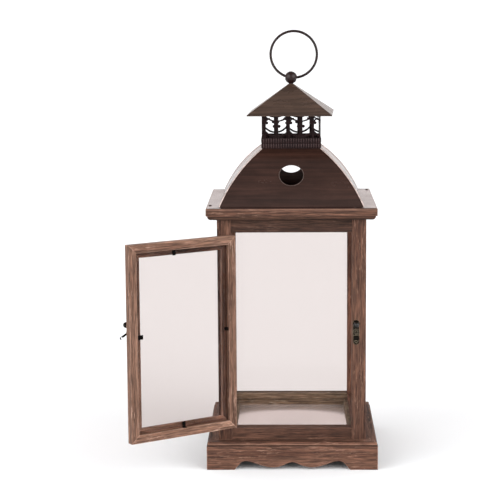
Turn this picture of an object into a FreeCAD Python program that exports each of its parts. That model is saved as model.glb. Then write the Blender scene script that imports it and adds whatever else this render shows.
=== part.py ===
"""Hanging lantern: a wooden case on a scalloped base, glazed on three sides, with a glazed door,
a domed sheet-metal roof, a pierced gallery, a pyramid cap, a ball finial and a hanging ring.

Millimetres, +Z up, front towards -Y. The origin is the centre of the base, on the surface it stands on.
The door is modelled shut and then turned to its open rest position about its hinge axis.
"""
import FreeCAD, Part
import math
import os
from FreeCAD import Vector

# ---------------------------------------------------------------- driving dimensions
# fits
wood_gap = 0.1              # between wooden pieces that slot together
glass_gap = 0.4             # at each edge of a pane
screw_gap = 0.05            # radial, screw in its hole
pin_gap = 0.05              # radial, turning pin in its bore

# base
base_width = 240.0
apron_height = 34.5
apron_thickness = 12.0
foot_width = 38.7           # flat foot at each corner
scallop_height = 12.6
base_board_thickness = 6.0
corner_block_leg = 24.0
corner_block_lift = 6.0     # clear of the ground
plank_inset = 1.5           # each side, from the apron's face
plank_thickness = 5.0
plank_rounding = 2.0

# case
case_width = 207.0
case_height = 313.4         # top of the planks to underside of the cornice
post_size = 19.5
post_rounding = 1.0
rail_setback = 1.5          # rail face behind the post face
front_bottom_rail_height = 16.5
side_bottom_rail_height = 21.0
top_rail_height = 18.6
tenon_length = 5.5
tenon_thickness = 8.0
tenon_shoulder = 3.0        # below and above the tenon
glass_thickness = 2.0
groove_width = 2.4
groove_depth = 4.0

# floor of the case
floor_panel_thickness = 9.5
floor_plate_thickness = 0.8
bead_width = 5.0
bead_height = 8.0
bead_rounding = 3.0

# cornice
cornice_width = 236.4
cornice_face_height = 10.0
cornice_round = 6.0
cornice_step = 2.0
cornice_opening = 156.0

# roof
sheet = 0.8                 # roof, gallery and cap metal
roof_bottom_width = 200.0
roof_top_width = 83.0
roof_rise = 75.3
roof_bulge = 6.3            # of the curved profile, off its chord
flange_width = 17.1
vent_hole_diameter = 33.8
vent_hole_height = 41.6     # hole centre above the flange
roof_screw_inset = 3.7      # from the flange's outer edge
# one screw in each flange, from the corner at its right-hand end as seen from outside
roof_screw_corner = {"front": 30.8, "right": 13.7, "back": 24.0, "left": 34.0}

# gallery
fluted_band_height = 15.0
pierced_height = 36.0
motif_pitch = 34.0
motif_phase = 13.6          # a main stem, from the middle of the front
back_stem_shift = 2.2       # of the back wall's stems, to the side of the front's
main_stem_width = 4.8
side_stem_width = 3.4
branch_width = 2.1
bottom_branch_width = 2.6
bead_radius = 2.1
corner_strip = 1.5          # solid metal beside each corner of the gallery

# cap
cap_width = 119.6
cap_eave_height = 48.2      # eave above the foot of the gallery
cap_rise = 40.7
cap_top_width = 7.5
cap_lip = 1.4
cap_turn = -2.5             # degrees, the cap sits slightly askew
cap_seat_gap = 0.15

# finial, bolt and ring
ball_radius = 8.8
neck_radius = 3.2
neck_height = 0.4           # seen between cap and ball
bolt_radius = 2.0
bolt_head_width = 7.0
bolt_head_height = 2.8
bolt_engagement = 4.6       # into the ball and its neck
strap_width = 12.0
strap_thickness = 1.5
strap_tab = 5.0
strap_drop = 7.0            # strap below the top of the gallery
ring_radius = 32.9          # to the middle of the wire
ring_wire = 1.85
ring_lean = 7.1             # degrees, the bore of the ball is not quite level
ring_gap = 0.55             # radial, wire in the straight part of the ball's bore
ring_mouth_gap = 0.45       # radial, where the curving wire leaves the ball
ring_bore_straight = 2.5    # half length of the straight part of the bore

# door
door_open_angle = -146.6    # degrees about the hinge axis, 0 is shut
door_thickness = 10.3
door_member = 19.0          # width of stiles and rails
door_gap_hinge = 0.8
door_gap_free = 1.0
door_gap_bottom = 3.9
door_gap_top = 2.3
rabbet_width = 7.5
rabbet_depth = 7.0
clip_width = 6.0            # of the free side's clip
clip_reach = 3.0            # beyond the rabbet's edge, over the glass
small_clip_width = 4.6
small_clip_reach = 0.8
hinge_clip_length = 4.4     # stays inside the rabbet
clip_free_height = 205.0
clip_hinge_height = 202.0
clip_top_along = 95.0       # from the hinge axis
clip_bottom_along = 83.0
clip_thickness = 0.7
clip_leg = 4.5

# hinges
hinge_height = 38.0
hinge_inset = 45.0          # hinge middle from the door's top or bottom
leaf_width = 10.0
leaf_thickness = 0.8
knuckle_radius = 2.0
knuckle_gap = 0.25
knuckle_proud = 1.3         # hinge axis in front of the post face
pin_radius = 0.9
pin_head_radius = 1.6
pin_head_height = 0.8

# clasp
clasp_plate_radius = 5.0
clasp_plate_tail_width = 8.4
clasp_plate_tail_radius = 4.2
clasp_plate_thickness = 1.0
clasp_edge = 5.0            # clasp centre line from the door's free edge
keeper_edge = 5.6           # keeper centre line from the post's inner edge
keeper_knob_height = 206.0
keeper_knob_to_boss = 12.0
latch_knob_height = 221.0
latch_knob_to_pivot = 9.0
plate_foot_drop = 14.0      # lower screw below the boss or the pivot
block_height = 7.5          # raised block of the keeper, under its boss
block_rise = 1.2
knob_radius = 4.0
knob_neck_radius = 1.0
knob_neck_top = 10.4
boss_radius = 4.4
boss_inner_radius = 3.2
boss_rise = 1.0
pivot_radius = 1.2
pivot_head_radius = 2.4
pivot_head_height = 1.3
arm_thickness = 1.2
arm_width = 2.4
arm_eye_radius = 3.0
arm_float = 0.15            # gap above and below the arm
arm_notch_gap = 0.25
arm_nose = 1.2              # metal beyond the notch

# screws
small_head_radius = 1.9
small_shank_radius = 1.0
small_screw_length = 8.0
roof_head_radius = 2.6
roof_head_height = 1.3
roof_shank_radius = 1.3
roof_screw_length = 12.0

# ---------------------------------------------------------------- levels and planes that follow
base_half = base_width / 2
case_half = case_width / 2
opening_half = case_half - post_size
plank_half = base_half - plank_inset
board_bottom = apron_height - base_board_thickness
case_bottom = apron_height + plank_thickness
case_top = case_bottom + case_height
door_sill = case_bottom + front_bottom_rail_height
door_head = case_top - top_rail_height
floor_top = apron_height + floor_panel_thickness + floor_plate_thickness
cornice_top = case_top + cornice_round + cornice_face_height
roof_foot = cornice_top + sheet
roof_top = roof_foot + roof_rise
gallery_half = roof_top_width / 2
eave = roof_top + cap_eave_height
cap_top = eave + cap_rise
ball_centre = cap_top + neck_height + ball_radius
ring_bore = ring_wire + ring_gap
ring_bore_mouth = ring_wire + ring_radius - math.sqrt(ring_radius ** 2 - ball_radius ** 2) + ring_mouth_gap

SIDES = {"front": 0, "right": 90, "back": 180, "left": 270}
Z_AXIS = Vector(0, 0, 1)
CENTRE = Vector(0, 0, 0)


# ---------------------------------------------------------------- small helpers
def box(x0, x1, y0, y1, z0, z1):
    return Part.makeBox(x1 - x0, y1 - y0, z1 - z0, Vector(x0, y0, z0))


def prism(points, direction):
    """Solid from a flat outline, given as vectors, and the vector it is extruded along."""
    outline = Part.makePolygon(list(points) + [points[0]])
    return Part.Face(outline).extrude(direction)


def turned(shape, angle, centre=CENTRE, axis=Z_AXIS):
    copy = shape.copy()
    copy.rotate(centre, axis, angle)
    return copy


def fused(shapes):
    shapes = list(shapes)
    return shapes[0].multiFuse(shapes[1:]).removeSplitter() if len(shapes) > 1 else shapes[0]


def rounded(shape, radius, keep):
    """Fillet the straight edges whose middle point passes the test."""
    edges = [edge for edge in shape.Edges if keep(edge.CenterOfMass)]
    return shape.makeFillet(radius, edges) if edges else shape


def near(value, target):
    return abs(value - target) < 0.01


def plan_mitre(outer, inner, z0, z1):
    """Front quarter of a square frame, between two squares, cut on the diagonals."""
    corners = [(-outer, -outer), (outer, -outer), (inner, -inner), (-inner, -inner)]
    return prism([Vector(x, y, z0) for x, y in corners], Vector(0, 0, z1 - z0))


def four_sides(name, shape):
    return {f"{name}_{side}": turned(shape, angle) for side, angle in SIDES.items()}


# ---------------------------------------------------------------- screws
def screw(head, direction, length, shank_radius, head_radius, countersunk, grow=0.0):
    """Screw with its head at a point and its shank along a direction; grow makes its hole."""
    if countersunk:
        cone = head_radius - shank_radius
        top = Part.makeCone(head_radius + grow, shank_radius + grow, cone, head, direction)
    else:
        dome = roof_head_height
        ball = (head_radius ** 2 + dome ** 2) / (2 * dome)
        unit = Vector(direction).normalize()
        sphere = Part.makeSphere(ball, head + unit * (ball - dome))
        block = Part.makeCylinder(head_radius, dome, head - unit * dome, direction)
        top = sphere.common(block)
    shank = Part.makeCylinder(shank_radius + grow, length, head, direction)
    return shank if grow and not countersunk else fused([top, shank])


# ---------------------------------------------------------------- base
def scalloped_apron():
    """Front board of the base: flat feet, and a wavy lower edge between them."""
    span = base_half - foot_width
    waves = [(0.90, 0.76), (0.835, 1.0), (0.72, 0.95), (0.54, 0.54), (0.36, 0.30), (0.17, 0.50)]
    half = [Vector(span * x, 0, scallop_height * z) for x, z in waves]
    crest = Vector(0, 0, scallop_height * 0.90)
    curve = half + [crest] + [Vector(-point.x, 0, point.z) for point in reversed(half)]
    wave = Part.BSplineCurve()
    wave.interpolate(curve)
    corners = [curve[-1], Vector(-span, 0, 0), Vector(-base_half, 0, 0), Vector(-base_half, 0, apron_height),
               Vector(base_half, 0, apron_height), Vector(base_half, 0, 0), Vector(span, 0, 0), curve[0]]
    face = Part.Face(Part.Wire([wave.toShape()] + Part.makePolygon(corners).Edges))
    board = face.extrude(Vector(0, apron_thickness, 0))
    board.translate(Vector(0, -base_half, 0))
    board = rounded(board, 1.2, lambda c: near(c.y, -base_half) and near(c.z, apron_height))
    return board.common(plan_mitre(base_half, base_half - apron_thickness, 0, apron_height))


def base_pieces():
    inner = base_half - apron_thickness
    pieces = four_sides("apron", scalloped_apron())

    leg = corner_block_leg
    corner = [Vector(-inner, -inner, corner_block_lift), Vector(leg - inner, -inner, corner_block_lift),
              Vector(-inner, leg - inner, corner_block_lift)]
    block = prism(corner, Vector(0, 0, board_bottom - corner_block_lift))
    pieces["corner_blocks"] = Part.makeCompound([turned(block, angle) for angle in SIDES.values()])

    half = inner - wood_gap
    pieces["base_board"] = box(-half, half, -half, half, board_bottom, apron_height)

    plank = box(-plank_half, plank_half, -plank_half, -opening_half, apron_height, case_bottom)
    plank = rounded(plank, plank_rounding, lambda c: near(c.y, -plank_half) and not near(c.x, -plank_half)
                    and not near(c.x, plank_half))
    plank = plank.common(plan_mitre(plank_half, opening_half, apron_height, case_bottom))
    pieces.update(four_sides("base_plank", plank))
    return pieces


# ---------------------------------------------------------------- floor of the case
def floor_pieces():
    half = opening_half - wood_gap
    panel_top = apron_height + floor_panel_thickness
    bead_top = floor_top + bead_height
    bead = box(-half, half, -half, bead_width - half, panel_top, bead_top)
    bead = rounded(bead, bead_rounding, lambda c: near(c.y, bead_width - half) and near(c.z, bead_top))
    bead = bead.common(plan_mitre(half, half - bead_width, panel_top, bead_top))
    plate_half = half - bead_width - wood_gap
    return {
        "floor_panel": box(-half, half, -half, half, apron_height, panel_top),
        "floor_plate": box(-plate_half, plate_half, -plate_half, plate_half, panel_top, floor_top),
        "floor_beads": Part.makeCompound([turned(bead, angle) for angle in SIDES.values()]),
    }


# ---------------------------------------------------------------- case
def rail(height, z0, groove_at=None):
    """Front rail with a tenon at each end; groove_at is the level of a glazing groove's floor."""
    y0 = -case_half + rail_setback
    body = box(-opening_half, opening_half, y0, -opening_half, z0, z0 + height)
    middle = -case_half + post_size / 2
    z_low = z0 + tenon_shoulder
    z_high = z0 + height - tenon_shoulder - groove_depth
    if groove_at is not None and groove_at > z0 + height:
        z_low, z_high = z_low + groove_depth, z_high + groove_depth
    reach = opening_half + tenon_length
    tenon = box(-reach, reach, middle - tenon_thickness / 2, middle + tenon_thickness / 2, z_low, z_high)
    return body.fuse(tenon).removeSplitter()


def glazing_groove(z0, z1):
    """Front-side groove cutter, as long as the pane's edge, centred in the post's depth."""
    reach = opening_half + groove_depth
    middle = -case_half + post_size / 2
    return box(-reach, reach, middle - groove_width / 2, middle + groove_width / 2, z0, z1)


def case_rails():
    pieces = {}
    for side, angle in SIDES.items():
        low_height = front_bottom_rail_height if side == "front" else side_bottom_rail_height
        low = rail(low_height, case_bottom)
        high = rail(top_rail_height, door_head)
        if side != "front":
            sill = case_bottom + low_height
            groove = glazing_groove(sill - groove_depth, door_head + groove_depth)
            low = low.cut(groove)
            high = high.cut(groove)
        pieces[f"bottom_rail_{side}"] = turned(low, angle)
        pieces[f"top_rail_{side}"] = turned(high, angle)
    return pieces


def grown_box(shape, margin):
    b = shape.BoundBox
    return box(b.XMin - margin, b.XMax + margin, b.YMin - margin, b.YMax + margin,
               b.ZMin - margin, b.ZMax + margin)


def mortises(rails):
    """Cutters for the tenons of every rail, each with the wood gap round it."""
    cutters = []
    for piece in rails.values():
        b = piece.BoundBox
        along_x = b.XLength > b.YLength
        for sign in (-1, 1):
            lo, hi = sorted((sign * opening_half, sign * (opening_half + tenon_length + 1)))
            end = box(lo, hi, b.YMin, b.YMax, b.ZMin, b.ZMax) if along_x else \
                box(b.XMin, b.XMax, lo, hi, b.ZMin, b.ZMax)
            cutters.append(grown_box(piece.common(end), wood_gap))
    return cutters


def posts(rails, cutters):
    pieces = {}
    sill = case_bottom + side_bottom_rail_height
    groove = glazing_groove(sill - groove_depth, door_head + groove_depth)
    grooves = [turned(groove, SIDES[side]) for side in ("left", "right", "back")]
    for row, y_sign in (("front", -1), ("back", 1)):
        for column, x_sign in (("left", -1), ("right", 1)):
            x0, x1 = sorted((x_sign * opening_half, x_sign * case_half))
            y0, y1 = sorted((y_sign * opening_half, y_sign * case_half))
            post = box(x0, x1, y0, y1, case_bottom, case_top)
            post = rounded(post, post_rounding, lambda c: near(c.z, (case_bottom + case_top) / 2) and
                           (near(abs(c.x), case_half) or near(abs(c.y), case_half)))
            pieces[f"post_{row}_{column}"] = post.cut(mortises(rails) + grooves + cutters)
    return pieces


def panes():
    """Fixed panes: each stands in the bottom rail's groove, clear of its edges elsewhere."""
    reach = opening_half + groove_depth - glass_gap
    middle = -case_half + post_size / 2
    z0 = case_bottom + side_bottom_rail_height - groove_depth
    z1 = door_head + groove_depth - glass_gap
    pane = box(-reach, reach, middle - glass_thickness / 2, middle + glass_thickness / 2, z0, z1)
    return {f"glass_{side}": turned(pane, SIDES[side]) for side in ("left", "right", "back")}


# ---------------------------------------------------------------- cornice
def cornice_pieces(cutters):
    half = cornice_width / 2
    face = half - cornice_step
    inner = cornice_opening / 2
    step_level = case_top + cornice_round
    points = [Vector(0, -inner, case_top), Vector(0, -inner, cornice_top), Vector(0, -half, cornice_top),
              Vector(0, -half, step_level), Vector(0, -face, step_level)]
    foot = Vector(0, cornice_round - face, case_top)
    side = math.sqrt(0.5) * cornice_round
    middle = Vector(0, cornice_round - face - side, step_level - side)
    edges = Part.makePolygon(points).Edges
    edges.append(Part.Arc(points[-1], middle, foot).toShape())
    edges.append(Part.makeLine(foot, points[0]))
    bar = Part.Face(Part.Wire(edges)).extrude(Vector(cornice_width, 0, 0))
    bar.translate(Vector(-half, 0, 0))
    bar = rounded(bar, 0.8, lambda c: near(c.y, -half))
    bar = bar.common(plan_mitre(half, inner, case_top, cornice_top))
    return {name: piece.cut(cutters) for name, piece in four_sides("cornice", bar).items()}


# ---------------------------------------------------------------- roof
def profile_circle():
    """Centre (y, z) and radius of the front panel's curved outer profile."""
    foot = Vector(0, -roof_bottom_width / 2, roof_foot)
    head = Vector(0, -gallery_half, roof_top)
    chord = head - foot
    outward = Vector(0, -chord.z, chord.y).normalize()
    middle = (foot + head) * 0.5 + outward * roof_bulge
    radius = (chord.Length ** 2 / 4 + roof_bulge ** 2) / (2 * roof_bulge)
    return middle - outward * radius, radius


def on_profile(level, inset=0.0):
    """Point of the front profile at a level, moved inwards through the sheet."""
    centre, radius = profile_circle()
    reach = math.sqrt((radius - inset) ** 2 - (level - centre.z) ** 2)
    return Vector(0, centre.y - reach, level)


def roof_panel():
    """Front quarter of the dome, bent from one sheet with its flange."""
    edge = roof_bottom_width / 2 + flange_width
    middle_level = (roof_foot + roof_top) / 2
    inner_foot = on_profile(cornice_top, sheet)
    inner_head = on_profile(roof_top, sheet)
    outer_foot = on_profile(roof_foot)
    outer_head = on_profile(roof_top)
    edges = Part.makePolygon([inner_foot, Vector(0, -edge, cornice_top), Vector(0, -edge, roof_foot),
                              outer_foot]).Edges
    edges.append(Part.Arc(outer_foot, on_profile(middle_level), outer_head).toShape())
    edges.append(Part.makeLine(outer_head, inner_head))
    edges.append(Part.Arc(inner_head, on_profile(middle_level, sheet), inner_foot).toShape())
    bar = Part.Face(Part.Wire(edges)).extrude(Vector(2 * edge, 0, 0))
    bar.translate(Vector(-edge, 0, 0))
    return bar.common(plan_mitre(edge, 1.0, cornice_top, roof_top))


def vent_hole():
    """Cutter for a round hole, square to the sheet at its centre."""
    centre, radius = profile_circle()
    point = on_profile(roof_foot + vent_hole_height)
    normal = (point - centre).normalize()
    return Part.makeCylinder(vent_hole_diameter / 2, 20, point - normal * 10, normal)


def roof_screw_set(grow=0.0):
    edge = roof_bottom_width / 2 + flange_width
    down = Vector(0, 0, -1)
    screws = []
    for side, angle in SIDES.items():
        head = Vector(edge - roof_screw_corner[side], roof_screw_inset - edge, roof_foot)
        one = screw(head, down, roof_screw_length, roof_shank_radius, roof_head_radius, False, grow)
        screws.append(turned(one, angle))
    return screws


def roof_pieces():
    holes = roof_screw_set(screw_gap)
    pieces = {}
    for side, angle in SIDES.items():
        panel = roof_panel()
        if side in ("front", "back"):
            panel = panel.cut(vent_hole())
        pieces[f"roof_{side}"] = turned(panel, angle).cut(holes)
    pieces["roof_screws"] = Part.makeCompound(roof_screw_set())
    return pieces


# ---------------------------------------------------------------- gallery
def upright(x, width, z0, z1):
    return box(x - width / 2, x + width / 2, -gallery_half, sheet - gallery_half, z0, z1)


def branch(x0, z0, x1, z1, bow, width=branch_width):
    """Curved strip of the pierced pattern between two points, bowed off its chord."""
    start = Vector(x0, -gallery_half, z0)
    end = Vector(x1, -gallery_half, z1)
    chord = end - start
    side = Vector(-chord.z, 0, chord.x).normalize()
    middle = (start + end) * 0.5 + side * bow
    half = width / 2

    def arc(shift):
        return Part.Arc(start + side * shift, middle + side * shift, end + side * shift).toShape()

    outer, inner = arc(half), arc(-half)
    ends = [Part.makeLine(start + side * half, start - side * half),
            Part.makeLine(end + side * half, end - side * half)]
    face = Part.Face(Part.Wire(Part.sortEdges([outer, inner] + ends)[0]))
    return face.extrude(Vector(0, sheet, 0))


def stud(x, z):
    return Part.makeCylinder(bead_radius, sheet, Vector(x, -gallery_half, z), Vector(0, 1, 0))


def motif(x):
    """One repeat of the pattern: sagging branches hung between a main stem at x and its neighbours."""
    low = roof_top + fluted_band_height
    high = low + pierced_height
    half_pitch = motif_pitch / 2
    shapes = [upright(x, main_stem_width, low, high), upright(x + half_pitch, side_stem_width, low, high)]
    for sign in (-1, 1):
        tip = x + sign * half_pitch
        shapes.append(branch(x, low + 1.6, tip, low + 10.8, -2.3 * sign, bottom_branch_width))
        shapes.append(branch(x, low + 23.6, tip, low + 31.2, -1.8 * sign))
        shapes.append(branch(x + sign * 9.6, low + 28.0, tip, low + 20.5, 1.2 * sign))
        shapes.append(stud(x + sign * (main_stem_width / 2 + 1.2), low + 16.6))
        shapes.append(stud(tip - sign * (side_stem_width / 2 + 1.4), low + 21.4))
    return shapes


def cap_underside(half):
    """Level of the cap's underside where its plan half width is half."""
    run = (cap_width - cap_top_width) / 2
    slope = math.atan2(cap_rise, run)
    return eave + (cap_width / 2 - half) * math.tan(slope) - sheet / math.cos(slope)


def gallery_top():
    """The cap, slightly askew, rests on the four upper corners of the gallery."""
    turn = math.radians(abs(cap_turn))
    corner = gallery_half * (math.cos(turn) + math.sin(turn))
    return cap_underside(corner) - cap_seat_gap


def gallery_wall(phase):
    """Front wall of the gallery, with the pattern's main stems at phase plus whole pitches."""
    low = roof_top + fluted_band_height
    high = low + pierced_height
    solid = [box(-gallery_half, gallery_half, -gallery_half, sheet - gallery_half, roof_top, low),
             box(-gallery_half, gallery_half, -gallery_half, sheet - gallery_half, high, gallery_top())]
    for sign in (-1, 1):
        solid.append(upright(sign * (gallery_half - corner_strip / 2), corner_strip, roof_top, gallery_top()))
    first = phase % motif_pitch - 2 * motif_pitch
    pattern = []
    for step in range(5):
        pattern += motif(first + step * motif_pitch)
    window = box(-gallery_half, gallery_half, -gallery_half, sheet - gallery_half, low, high)
    return fused(solid + [shape.common(window) for shape in pattern if shape.common(window).Volume > 0.01])


def gallery():
    """Four walls: the back is nearly the front's mirror image, so that their stems line up."""
    phases = {0: motif_phase, 90: 0.0, 180: back_stem_shift - motif_phase, 270: 0.0}
    return fused([turned(gallery_wall(phase), angle) for angle, phase in phases.items()])


# ---------------------------------------------------------------- cap, strap, bolt, ball and ring
def pyramid(half_low, half_high, z0, z1):
    def square(half, z):
        corners = [(-half, -half), (half, -half), (half, half), (-half, half)]
        points = [Vector(x, y, z) for x, y in corners]
        return Part.makePolygon(points + [points[0]])
    return Part.makeLoft([square(half_low, z0), square(half_high, z1)], True, True)


def cap_pieces():
    half = cap_width / 2
    top_half = cap_top_width / 2
    slope = math.atan2(cap_rise, half - top_half)
    inner_half = half - sheet
    inner_rise = (inner_half - top_half) * math.tan(slope) + sheet * math.tan(slope) - sheet / math.cos(slope)
    outer = fused([pyramid(half, top_half, eave, cap_top), box(-half, half, -half, half, eave - cap_lip, eave)])
    room = fused([pyramid(inner_half, top_half, eave, eave + inner_rise),
                  box(-inner_half, inner_half, -inner_half, inner_half, eave - cap_lip - 1, eave)])
    bolt_way = Part.makeCylinder(bolt_radius + screw_gap, cap_rise, Vector(0, 0, eave + cap_rise / 2))
    cap = turned(outer.cut([room, bolt_way]), cap_turn)

    strap_top = gallery_top() - strap_drop
    inner = gallery_half - sheet - screw_gap
    strap = box(-inner, inner, -strap_width / 2, strap_width / 2, strap_top - strap_thickness, strap_top)
    tabs = [box(min(s * inner, s * (inner - strap_thickness)), max(s * inner, s * (inner - strap_thickness)),
                -strap_width / 2, strap_width / 2, strap_top, strap_top + strap_tab) for s in (-1, 1)]
    strap = fused([strap] + tabs)
    strap = strap.cut(Part.makeCylinder(bolt_radius + screw_gap, 10, Vector(0, 0, strap_top - 5)))

    head_z = strap_top - strap_thickness - bolt_head_height
    corner = bolt_head_width / math.sqrt(3)
    hexagon = [Vector(corner * math.cos(math.radians(60 * i)), corner * math.sin(math.radians(60 * i)), head_z)
               for i in range(6)]
    shank_top = cap_top + bolt_engagement
    shank = Part.makeCylinder(bolt_radius, shank_top - head_z, Vector(0, 0, head_z))
    bolt = fused([prism(hexagon, Vector(0, 0, bolt_head_height)), shank])
    return {"cap": cap, "cross_strap": strap, "finial_bolt": bolt, "finial_ball": finial_ball(),
            "hanging_ring": hanging_ring()}


def ring_axis():
    """Direction of the ball's bore, which is the axis that the ring swings about."""
    lean = math.radians(ring_lean)
    return Vector(math.cos(lean), 0, -math.sin(lean))


def finial_ball():
    centre = Vector(0, 0, ball_centre)
    neck = Part.makeCylinder(neck_radius, neck_height + ball_radius / 2, Vector(0, 0, cap_top))
    ball = Part.makeSphere(ball_radius, centre)
    socket = Part.makeCylinder(bolt_radius + screw_gap, bolt_engagement + 0.3, Vector(0, 0, cap_top))
    axis = ring_axis()
    bore = [Part.makeCylinder(ring_bore, 4 * ball_radius, centre - axis * 2 * ball_radius, axis)]
    for way in (axis, axis * -1):
        start = centre + way * ring_bore_straight
        length = ball_radius - ring_bore_straight
        bore.append(Part.makeCone(ring_bore, ring_bore_mouth, length, start, way))
        bore.append(Part.makeCylinder(ring_bore_mouth, ball_radius, centre + way * ball_radius, way))
    return fused([ball, neck]).cut([socket] + bore)


def hanging_ring():
    """Wire ring that passes through the middle of the ball, tangent to its bore."""
    axis = ring_axis()
    up = Vector(-axis.z, 0, axis.x)
    return Part.makeTorus(ring_radius, ring_wire, Vector(0, 0, ball_centre) + up * ring_radius, Vector(0, 1, 0))


# ---------------------------------------------------------------- door, modelled shut
door_left = -opening_half + door_gap_hinge
door_right = opening_half - door_gap_free
door_bottom = door_sill + door_gap_bottom
door_top = door_head - door_gap_top
door_face = -case_half
door_back = door_face + door_thickness
hinge_x = -opening_half + door_gap_hinge / 2
hinge_y = door_face - knuckle_proud
rabbet_floor = door_back - rabbet_depth


def opened(shape):
    return turned(shape, door_open_angle, Vector(hinge_x, hinge_y, 0))


def door_member_piece(side):
    """One mitred member of the door's frame, rabbeted on its inner side for the pane."""
    x0, x1, z0, z1, w = door_left, door_right, door_bottom, door_top, door_member
    outlines = {
        "stile_hinge": [(x0, z0), (x0, z1), (x0 + w, z1 - w), (x0 + w, z0 + w)],
        "stile_free": [(x1, z0), (x1, z1), (x1 - w, z1 - w), (x1 - w, z0 + w)],
        "rail_top": [(x0, z1), (x1, z1), (x1 - w, z1 - w), (x0 + w, z1 - w)],
        "rail_bottom": [(x0, z0), (x1, z0), (x1 - w, z0 + w), (x0 + w, z0 + w)],
    }
    bar = prism([Vector(x, door_face, z) for x, z in outlines[side]], Vector(0, door_thickness, 0))
    edge = door_member - rabbet_width
    rabbet = box(x0 + edge, x1 - edge, rabbet_floor, door_back + 1, z0 + edge, z1 - edge)
    return bar.cut(rabbet)


def clip_tab(length, width):
    """Bent tab along +X: a foot on the glass and a leg against the rabbet's wall."""
    y0 = rabbet_floor + glass_thickness
    foot = box(0, length, y0, y0 + clip_thickness, -width / 2, width / 2)
    leg = box(0, clip_thickness, y0, y0 + clip_leg, -width / 2, width / 2)
    return fused([foot, leg])


def glass_clips():
    """Four bent tabs, one on each side, that hold the door's pane in its rabbet."""
    edge = door_member - rabbet_width
    small = clip_tab(rabbet_width + small_clip_reach, small_clip_width)
    places = [(clip_tab(hinge_clip_length, small_clip_width), 0, door_left + edge, clip_hinge_height),
              (clip_tab(rabbet_width + clip_reach, clip_width), 180, door_right - edge, clip_free_height),
              (small, 90, hinge_x + clip_top_along, door_top - edge),
              (small, -90, hinge_x + clip_bottom_along, door_bottom + edge)]
    clips = []
    for tab, angle, x, z in places:
        clip = turned(tab, angle, axis=Vector(0, 1, 0))
        clip.translate(Vector(x, 0, z))
        clips.append(clip)
    return clips


def door_pane():
    edge = door_member - rabbet_width + glass_gap
    return box(door_left + edge, door_right - edge, rabbet_floor, rabbet_floor + glass_thickness,
               door_bottom + door_member - rabbet_width, door_top - edge)


# ---------------------------------------------------------------- hinges
def hinge_levels():
    return [door_bottom + hinge_inset, door_top - hinge_inset]


def hinge_leaf(middle, sign):
    """Leaf let into the post (sign -1) or the door (sign 1), with its share of the knuckles."""
    z0, z1 = middle - hinge_height / 2, middle + hinge_height / 2
    third = hinge_height / 3
    inner_band = (z0 + third, z1 - third)
    if sign > 0:
        own = [(inner_band[0] + knuckle_gap / 2, inner_band[1] - knuckle_gap / 2)]
    else:
        own = [(z0, inner_band[0] - knuckle_gap / 2), (inner_band[1] + knuckle_gap / 2, z1)]
    wood = hinge_x + sign * door_gap_hinge / 2
    x0, x1 = sorted((wood, wood + sign * leaf_thickness))
    leaf = box(x0, x1, hinge_y + knuckle_radius + knuckle_gap, door_face + leaf_width, z0, z1)
    shapes = [leaf]
    for low, high in own:
        shapes.append(box(x0, x1, hinge_y, hinge_y + knuckle_radius + knuckle_gap, low, high))
        shapes.append(Part.makeCylinder(knuckle_radius, high - low, Vector(hinge_x, hinge_y, low)))
    bore = Part.makeCylinder(pin_radius + pin_gap, hinge_height + 2, Vector(hinge_x, hinge_y, z0 - 1))
    return fused(shapes).cut([bore] + [one for one in hinge_screws(middle, sign, screw_gap)])


def leaf_recess(middle, sign):
    """Room for a leaf and the knuckles in the wood beside them."""
    wood = hinge_x + sign * door_gap_hinge / 2
    x0, x1 = sorted((wood - sign, wood + sign * leaf_thickness))
    z0 = middle - hinge_height / 2 - wood_gap
    height = hinge_height + 2 * wood_gap
    leaf = box(x0, x1, door_face - 1, door_face + leaf_width + wood_gap, z0, z0 + height)
    foot = Vector(hinge_x, hinge_y, z0 - pin_head_height)
    return leaf.fuse(Part.makeCylinder(knuckle_radius + knuckle_gap, height + 2 * pin_head_height, foot))


def hinge_screws(middle, sign, grow=0.0):
    wood = hinge_x + sign * door_gap_hinge / 2
    y = door_face + leaf_width / 2
    heads = [Vector(wood, y, middle + shift) for shift in (-hinge_height / 4, hinge_height / 4)]
    return [screw(head, Vector(sign, 0, 0), small_screw_length, small_shank_radius, small_head_radius,
                  True, grow) for head in heads]


def hinge_pin(middle):
    z0, z1 = middle - hinge_height / 2, middle + hinge_height / 2
    shapes = [Part.makeCylinder(pin_radius, hinge_height, Vector(hinge_x, hinge_y, z0))]
    for base in (z0 - pin_head_height, z1):
        shapes.append(Part.makeCylinder(pin_head_radius, pin_head_height, Vector(hinge_x, hinge_y, base)))
    return fused(shapes)


# ---------------------------------------------------------------- clasp
OUTWARD = Vector(0, -1, 0)
clasp_x = door_right - clasp_edge
keeper_x = opening_half + keeper_edge
pivot_height = latch_knob_height - latch_knob_to_pivot
latch_foot = pivot_height - plate_foot_drop
boss_height = keeper_knob_height - keeper_knob_to_boss
keeper_foot = boss_height - plate_foot_drop


def disc(x, z, radius, low, high):
    """Round slab on the front face, from one height off the face to another."""
    return Part.makeCylinder(radius, high - low, Vector(x, door_face - low, z), OUTWARD)


def clasp_plate(x, knob_z, middle_z, foot_z):
    """Back plate with a round lobe behind the knob, another in the middle and a round foot."""
    t = clasp_plate_thickness
    half = clasp_plate_tail_width / 2
    return fused([disc(x, knob_z, clasp_plate_radius, 0, t), disc(x, middle_z, clasp_plate_radius, 0, t),
                  box(x - half, x + half, door_face - t, door_face, foot_z, knob_z),
                  disc(x, foot_z, clasp_plate_tail_radius, 0, t)])


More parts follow.
